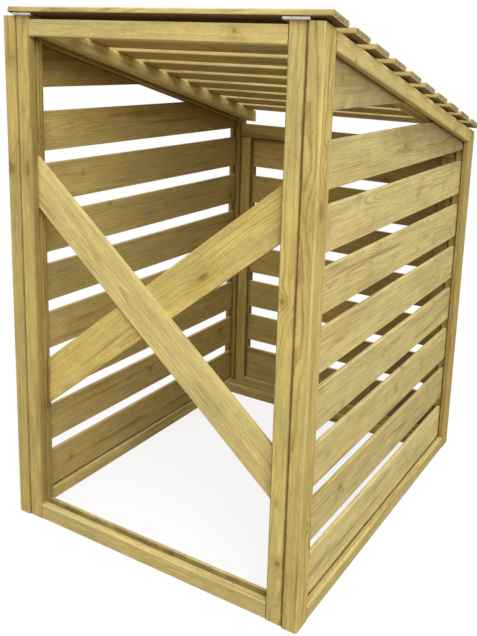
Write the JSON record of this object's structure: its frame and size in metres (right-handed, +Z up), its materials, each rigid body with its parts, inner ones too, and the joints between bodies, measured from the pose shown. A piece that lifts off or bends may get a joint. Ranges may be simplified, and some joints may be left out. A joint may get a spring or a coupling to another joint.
{
  "type": "slatted timber bin shelter",
  "caption": "Slatted timber bin shelter with grooved frame panels, a cross-braced back, a sloping slatted lid hinged along its high edge and a framed door at its low end.",
  "frame": {"origin": "centre of the bounding box at ground level", "axes": "+Z up, +Y from the high cross-braced back towards the low door end, +X to the right when looking at the back"},
  "size_m": [0.8145, 0.9826, 1.2373],
  "materials": {
    "frame_timber": "green-tinted pressure-treated softwood with eased edges",
    "board_timber": "green-tinted pressure-treated softwood boards, planed",
    "hinge_steel": "zinc-plated steel"
  },
  "bodies": {
    "frame": {"left_back_stile": "frame_timber", "left_front_stile": "frame_timber", "left_bottom_rail": "frame_timber", "left_top_rail": "frame_timber", "left_slats": "board_timber", "right_back_stile": "frame_timber", "right_front_stile": "frame_timber", "right_bottom_rail": "frame_timber", "right_top_rail": "frame_timber", "right_slats": "board_timber", "back_left_stile": "frame_timber", "back_right_stile": "frame_timber", "back_bottom_rail": "frame_timber", "back_top_rail": "frame_timber", "front_brace": "board_timber", "rear_brace": "board_timber", "floor_sill": "frame_timber", "left_lid_hinge_base": "hinge_steel", "right_lid_hinge_base": "hinge_steel", "upper_door_hinge_base": "hinge_steel", "lower_door_hinge_base": "hinge_steel"},
    "door": {"door_hinge_stile": "frame_timber", "door_free_stile": "frame_timber", "door_bottom_rail": "frame_timber", "door_header": "frame_timber", "door_slats_panel": "board_timber", "upper_door_hinge_leaf": "hinge_steel", "lower_door_hinge_leaf": "hinge_steel"},
    "lid": {"lid_slat_1": "board_timber", "lid_slat_2": "board_timber", "lid_slat_3": "board_timber", "lid_slat_4": "board_timber", "lid_slat_5": "board_timber", "lid_slat_6": "board_timber", "lid_slat_7": "board_timber", "lid_slat_8": "board_timber", "lid_slat_9": "board_timber", "lid_slat_10": "board_timber", "lid_left_rafter": "frame_timber", "lid_right_rafter": "frame_timber", "left_lid_hinge_leaf": "hinge_steel", "right_lid_hinge_leaf": "hinge_steel"}
  },
  "joints": [
    {"name": "lid_lift", "type": "hinge", "parent": "frame", "child": "lid", "pos_m": [0, -0.48854, 1.22193], "axis": [1, 0, 0], "range_deg": [0, 80]},
    {"name": "door_swing", "type": "hinge", "parent": "frame", "child": "door", "pos_m": [-0.36875, 0.48794, 0], "axis": [0, 0, 1], "range_deg": [0, 100]}
  ]
}
